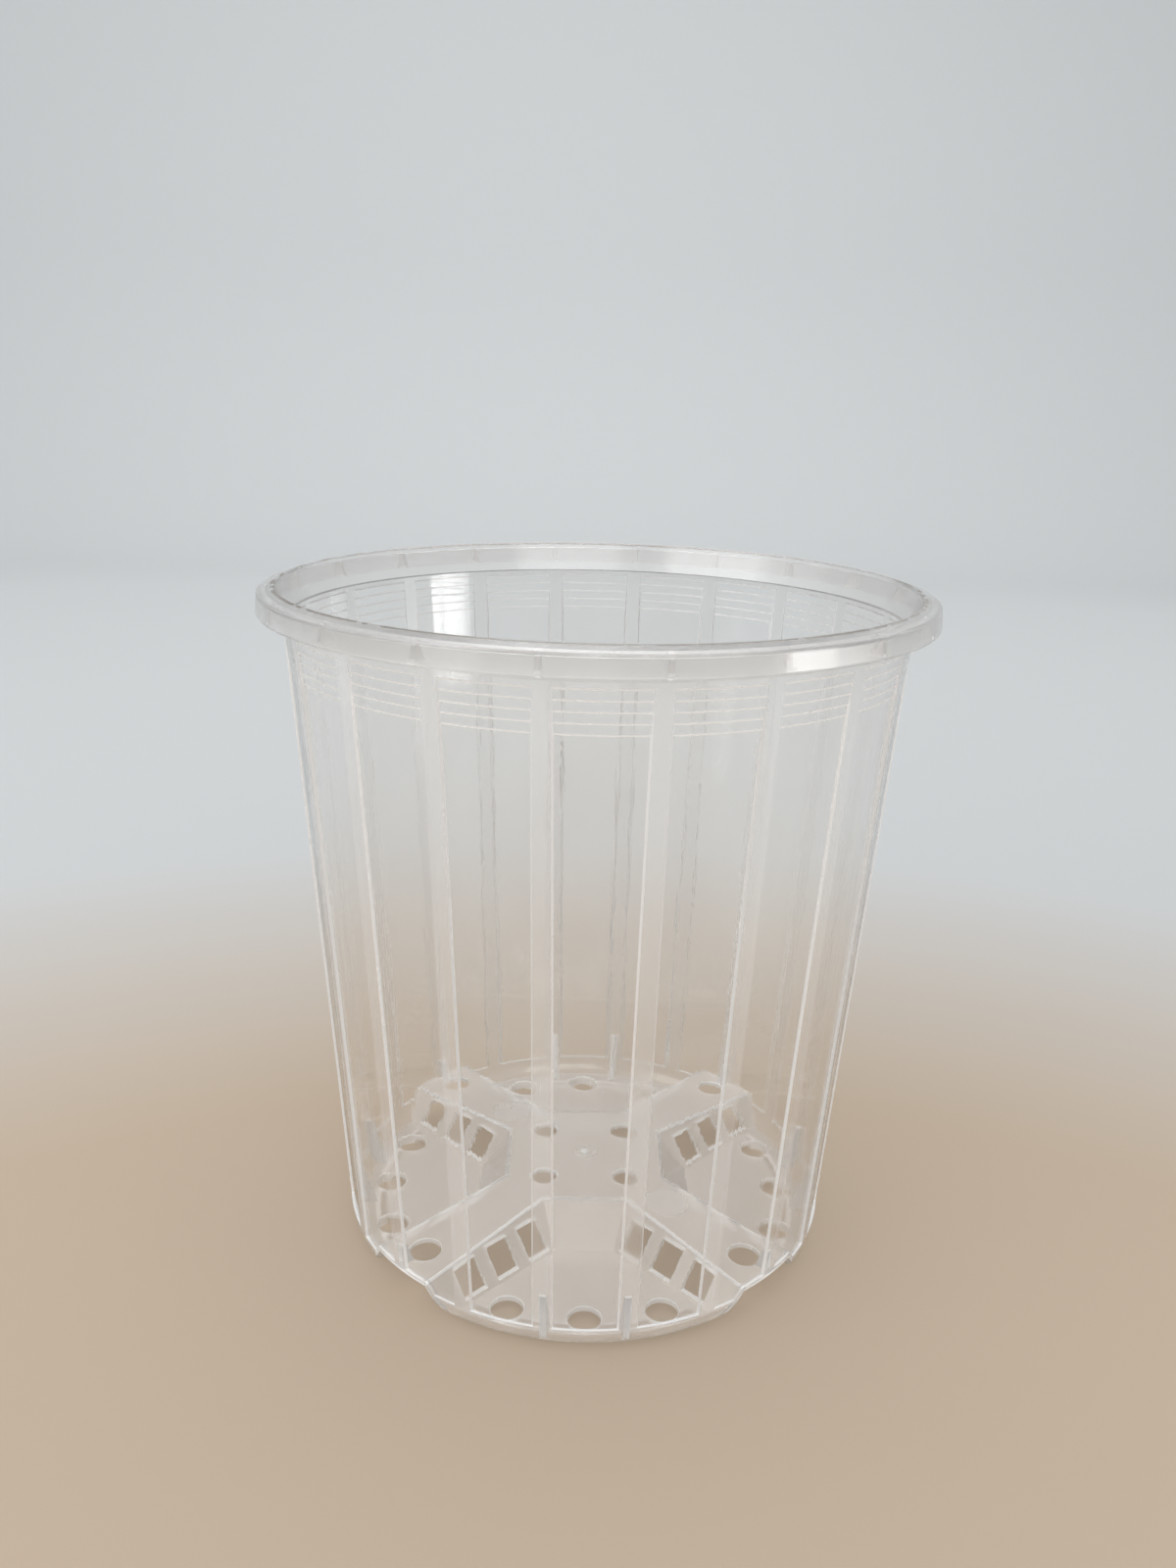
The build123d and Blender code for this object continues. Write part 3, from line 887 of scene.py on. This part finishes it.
def makeRim():
    ring, web = makeRimRing(), makeWeb()
    tree, ins, out = newTree("potRim", [("Web", "Object"), ("Bays", "Int"), ("Bay Turn", "Float"),
                                        ("Web First", "Float"), ("Plastic", "Material")])
    pick = ins.outputs
    shape = objectShape(tree, pick["Web"])
    webs = turned(tree, shape, pick["Bays"], pick["Bay Turn"], pick["Web First"])
    both = tree.nodes.new("GeometryNodeJoinGeometry")
    for part in (pick["Geometry"], webs):
        tree.links.new(part, both.inputs[0])
    finishTree(tree, out, both.outputs[0], pick["Plastic"])
    values = {"Web": web, "Bays": wall["bays"], "Bay Turn": math.tau / wall["bays"],
              "Web First": -math.pi / 2 + math.pi / wall["bays"], "Plastic": milkyPlastic}
    runTree(ring, tree, values, rim["sharp"], 0.0, [dustAndShadeEdge, frostAndSoftHighlightPlastic])
    bpy.data.objects.remove(web)
    return ring


potBody = makeBody()
potRim = makeRim()

rimNodes = [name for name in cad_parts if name.startswith("rim_")]
bodyNodes = [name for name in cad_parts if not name.startswith("rim_")]
for piece, nodes, slot in ((potBody, bodyNodes, "clear_plastic"), (potRim, rimNodes, "milky_rim")):
    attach(piece, "root")
    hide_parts(*nodes)

# Pale floor that rises into a backdrop
stageLook = {
    "floor": (0.50, 0.40, 0.30),
    "behind": (0.58, 0.595, 0.60),
    "back": (0.74, 0.76, 0.765),
    "centre": (0.0, -0.25, 0.0),
    "stops": (0.30, 0.51, 1.3),     # how far from the centre each colour lies
    "rough": 0.75,
    "size": 3.0,
    "depth": 1.1,
    "bend": 0.35,
    "bendSteps": 12,
}


def stageMaterial():
    material = bpy.data.materials.new("paleStage")
    material.use_nodes = True
    tree = material.node_tree
    shader = tree.nodes["Principled BSDF"]
    shader.inputs["Roughness"].default_value = stageLook["rough"]
    coords = tree.nodes.new("ShaderNodeTexCoord")
    away = tree.nodes.new("ShaderNodeVectorMath")
    away.operation = "DISTANCE"
    away.inputs[1].default_value = stageLook["centre"]
    tree.links.new(coords.outputs["Object"], away.inputs[0])
    farthest = stageLook["stops"][-1]
    fit = tree.nodes.new("ShaderNodeMapRange")
    fit.inputs["From Max"].default_value = farthest
    tint = tree.nodes.new("ShaderNodeValToRGB")
    stops = tint.color_ramp.elements
    stops.new(0.5)
    for i, colour in enumerate(("floor", "behind", "back")):
        stops[i].position = stageLook["stops"][i] / farthest
        stops[i].color = (*stageLook[colour], 1)
    tree.links.new(away.outputs["Value"], fit.inputs["Value"])
    tree.links.new(fit.outputs[0], tint.inputs["Fac"])
    tree.links.new(tint.outputs["Color"], shader.inputs["Base Color"])
    return material


def makeStage():
    bm = bmesh.new()
    size, depth, bend = stageLook["size"], stageLook["depth"], stageLook["bend"]
    path = [(-size, 0.0), (depth, 0.0)]
    for i in range(1, stageLook["bendSteps"] + 1):
        turn = math.pi / 2 * i / stageLook["bendSteps"]
        path.append((depth + bend * math.sin(turn), bend * (1 - math.cos(turn))))
    path.append((depth + bend, size))
    rows = [[bm.verts.new((x, y, z)) for x in (-size, size)] for y, z in path]
    for near, far in zip(rows, rows[1:]):
        bm.faces.new((near[0], near[1], far[1], far[0]))
    sweep = meshObject("paleStage", bm)
    sweep.data.shade_smooth()
    sweep.data.materials.append(stageMaterial())


makeStage()

# Soft light: an even sky, a low panel on the right, broad ones in front, on the left and above
skyLook = {"colour": (0.98, 0.985, 1.0), "strength": 0.50}
lamps = {                       # place, aim, size, power and spread in degrees
    "panel": ((0.78, -0.345, 0.12), (0.0, 0.0, 0.13), (0.28, 0.18), 0.055, 40),
    "front": ((0.35, -1.5, 0.95), (0.0, 0.0, 0.08), (1.2, 0.9), 7.8, 180),
    "fill": ((-0.9, -0.6, 0.9), (0.0, 0.0, 0.08), (0.9, 0.9), 6.5, 180),
    "top": ((0.1, 0.35, 1.3), (0.0, 0.0, 0.08), (1.0, 1.0), 7.2, 180),
}


def makeLights():
    world = bpy.data.worlds.new("softSky")
    bpy.context.scene.world = world
    world.use_nodes = True
    sky = world.node_tree.nodes["Background"]
    sky.inputs["Color"].default_value = (*skyLook["colour"], 1)
    sky.inputs["Strength"].default_value = skyLook["strength"]
    for name, (place, aim, size, power, spread) in lamps.items():
        lamp = bpy.data.lights.new(name + "Light", "AREA")
        lamp.shape = "RECTANGLE"
        lamp.size, lamp.size_y = size
        lamp.energy = power
        lamp.spread = math.radians(spread)
        holder = bpy.data.objects.new(name + "Light", lamp)
        holder.location = place
        holder.rotation_euler = (Vector(aim) - Vector(place)).to_track_quat("-Z", "Y").to_euler()
        bpy.context.scene.collection.objects.link(holder)


makeLights()

# Camera at the photograph's place
shot = {
    "place": (-0.00515, -0.28732, 0.20204),
    "yaw": 0.0130,
    "pitch": 0.3049,
    "roll": 0.0243,
    "lens": 29.418,
    "sensor": 36.0,
    "nearest": 0.01,
}


def makeCamera():
    yaw, pitch, roll = shot["yaw"], shot["pitch"], shot["roll"]
    level = math.cos(pitch)
    ahead = Vector((math.sin(yaw) * level, math.cos(yaw) * level, -math.sin(pitch)))
    right = Vector((math.cos(yaw), -math.sin(yaw), 0))
    up = right.cross(ahead)
    rightTurned = math.cos(roll) * right + math.sin(roll) * up
    upTurned = math.cos(roll) * up - math.sin(roll) * right
    turn = Matrix((rightTurned, upTurned, -ahead)).transposed().to_4x4()
    camera = bpy.data.cameras.new("camera")
    camera.lens = shot["lens"]
    camera.sensor_width = shot["sensor"]
    camera.clip_start = shot["nearest"]
    holder = bpy.data.objects.new("camera", camera)
    holder.matrix_world = Matrix.Translation(shot["place"]) @ turn
    bpy.context.scene.collection.objects.link(holder)
    bpy.context.scene.camera = holder


makeCamera()
bpy.context.scene.view_settings.view_transform = "Standard"
bpy.context.scene.cycles.caustics_refractive = False

print("scene ready")
